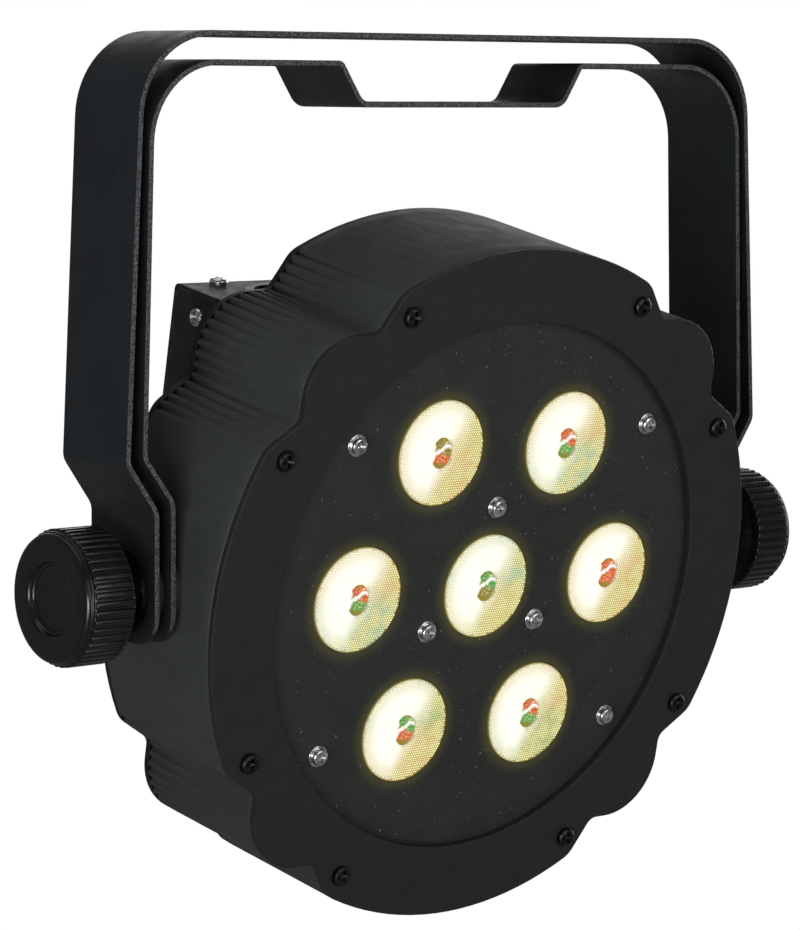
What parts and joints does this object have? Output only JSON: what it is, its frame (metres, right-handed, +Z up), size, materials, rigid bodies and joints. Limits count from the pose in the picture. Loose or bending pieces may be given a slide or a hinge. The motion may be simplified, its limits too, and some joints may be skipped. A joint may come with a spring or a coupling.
{
  "type": "par can light",
  "caption": "Flat stage light: lobed ribbed casing with a ring of lenses, hung in two nested steel brackets that clamp with hand knobs.",
  "frame": {"origin": "centre of the clamp bolt hole, on the top face of the outer bracket", "axes": "+Z up along the clamp bolt, +X to the right seen from the front along the tilt axis, light leaves towards -Y"},
  "size_m": [0.2536, 0.1145, 0.2423],
  "materials": {
    "bracket_steel": "fine textured powder coat",
    "friction_fibre": "pressed fibre",
    "casing_plastic": "satin, finely spark-eroded",
    "bezel_plastic": "matte",
    "face_paint": "fine textured powder coat",
    "cover_paint": "semi-matte",
    "box_paint": "textured powder coat",
    "knob_plastic": "glossy",
    "plated_steel": "bright zinc plate",
    "black_steel": "black oxide, slightly shiny",
    "lens_clear": "clear with a fine honeycomb face",
    "holder_plastic": "matte",
    "diode_package": "glossy",
    "white_board": "solder resist",
    "green_board": "solder resist",
    "bare_aluminium": "extruded",
    "socket_plastic": "satin",
    "contact_metal": "bright",
    "black_rubber": "matte",
    "display_glass": "dark red tint",
    "fuse_glass": "clear",
    "button_plastic": "satin",
    "lead_sheath": "smooth"
  },
  "bodies": {
    "bracket": {"outer_bracket": "bracket_steel", "bracket_spacers": "friction_fibre"},
    "inner_bracket": {"inner_bracket": "bracket_steel"},
    "knob_washer_left": {"knob_washer_left": "black_steel"},
    "knob_left": {"knob_left": "knob_plastic", "knob_stud_left": "plated_steel"},
    "knob_washer_right": {"knob_washer_right": "black_steel"},
    "knob_right": {"knob_right": "knob_plastic", "knob_stud_right": "plated_steel"},
    "release_lever": {"release_lever": "plated_steel"},
    "fuse_cap": {"fuse_cap": "socket_plastic", "fuse": "fuse_glass"},
    "button_menu": {"button_menu": "button_plastic"},
    "button_down": {"button_down": "button_plastic"},
    "button_up": {"button_up": "button_plastic"},
    "button_enter": {"button_enter": "button_plastic"},
    "head": {"bezel_screws": "black_steel", "board_standoffs": "plated_steel", "box_cover": "box_paint", "box_fixing_screws": "plated_steel", "box_frame": "box_paint", "box_side_screws": "plated_steel", "casing": "casing_plastic", "control_board": "green_board", "diode_board": "white_board", "diode_lead": "lead_sheath", "diodes": "diode_package", "display_module": "socket_plastic", "display_window": "display_glass", "face_gasket": "black_rubber", "face_plate": "face_paint", "face_screws": "plated_steel", "face_standoffs": "plated_steel", "front_bezel": "bezel_plastic", "fuse_holder": "socket_plastic", "heat_sink": "bare_aluminium", "heat_sink_screws": "black_steel", "lens_0": "lens_clear", "lens_1": "lens_clear", "lens_2": "lens_clear", "lens_3": "lens_clear", "lens_4": "lens_clear", "lens_5": "lens_clear", "lens_6": "lens_clear", "lens_holders": "holder_plastic", "menu_switches": "socket_plastic", "pivot_inserts": "plated_steel", "power_inlet": "socket_plastic", "power_inlet_pins": "contact_metal", "power_outlet": "socket_plastic", "power_supply_board": "green_board", "rear_cover": "cover_paint", "rear_cover_screws": "black_steel", "safety_eye": "cover_paint", "safety_eye_screws": "plated_steel", "signal_inlet": "socket_plastic", "signal_inlet_pins": "contact_metal", "signal_outlet": "socket_plastic", "wire_grommet": "black_rubber"}
  },
  "joints": [
    {"name": "head_tilt", "type": "hinge", "parent": "bracket", "child": "head", "pos_m": [0, 0, -0.1446], "axis": [1, 0, 0], "range_deg": [-90, 90]},
    {"name": "inner_bracket_swing", "type": "hinge", "parent": "bracket", "child": "inner_bracket", "pos_m": [0, 0, -0.1446], "axis": [1, 0, 0], "range_deg": [-120, 120]},
    {"name": "knob_left_travel", "type": "slide", "parent": "head", "child": "knob_washer_left", "axis": [-1, 0, 0], "range_m": [0, 0.0026]},
    {"name": "knob_left_turn", "type": "hinge", "parent": "knob_washer_left", "child": "knob_left", "pos_m": [-0.1, 0, -0.1446], "axis": [-1, 0, 0], "range_deg": [0, 720]},
    {"name": "knob_right_travel", "type": "slide", "parent": "head", "child": "knob_washer_right", "axis": [1, 0, 0], "range_m": [0, 0.0026]},
    {"name": "knob_right_turn", "type": "hinge", "parent": "knob_washer_right", "child": "knob_right", "pos_m": [0.1, 0, -0.1446], "axis": [1, 0, 0], "range_deg": [0, 720]},
    {"name": "button_menu_press", "type": "slide", "parent": "head", "child": "button_menu", "axis": [0, -0.9826, -0.1857], "range_m": [0, 0.0008], "stiffness_N_per_m": 400, "springref_m": -0.0005},
    {"name": "button_down_press", "type": "slide", "parent": "head", "child": "button_down", "axis": [0, -0.9826, -0.1857], "range_m": [0, 0.0008], "stiffness_N_per_m": 400, "springref_m": -0.0005},
    {"name": "button_up_press", "type": "slide", "parent": "head", "child": "button_up", "axis": [0, -0.9826, -0.1857], "range_m": [0, 0.0008], "stiffness_N_per_m": 400, "springref_m": -0.0005},
    {"name": "button_enter_press", "type": "slide", "parent": "head", "child": "button_enter", "axis": [0, -0.9826, -0.1857], "range_m": [0, 0.0008], "stiffness_N_per_m": 400, "springref_m": -0.0005},
    {"name": "release_lever_press", "type": "slide", "parent": "head", "child": "release_lever", "axis": [0, 0.1857, -0.9826], "range_m": [0, 0.001], "stiffness_N_per_m": 600, "springref_m": -0.0005},
    {"name": "fuse_cap_turn", "type": "hinge", "parent": "head", "child": "fuse_cap", "pos_m": [0, 0.05251, -0.19574], "axis": [0, 0.1857, -0.9826], "range_deg": [0, 90]}
  ],
  "couplings": [
    {"joint": "knob_left_travel", "follows": "knob_left_turn", "m_per_rad": 0.00019894},
    {"joint": "knob_right_travel", "follows": "knob_right_turn", "m_per_rad": 0.00019894}
  ]
}
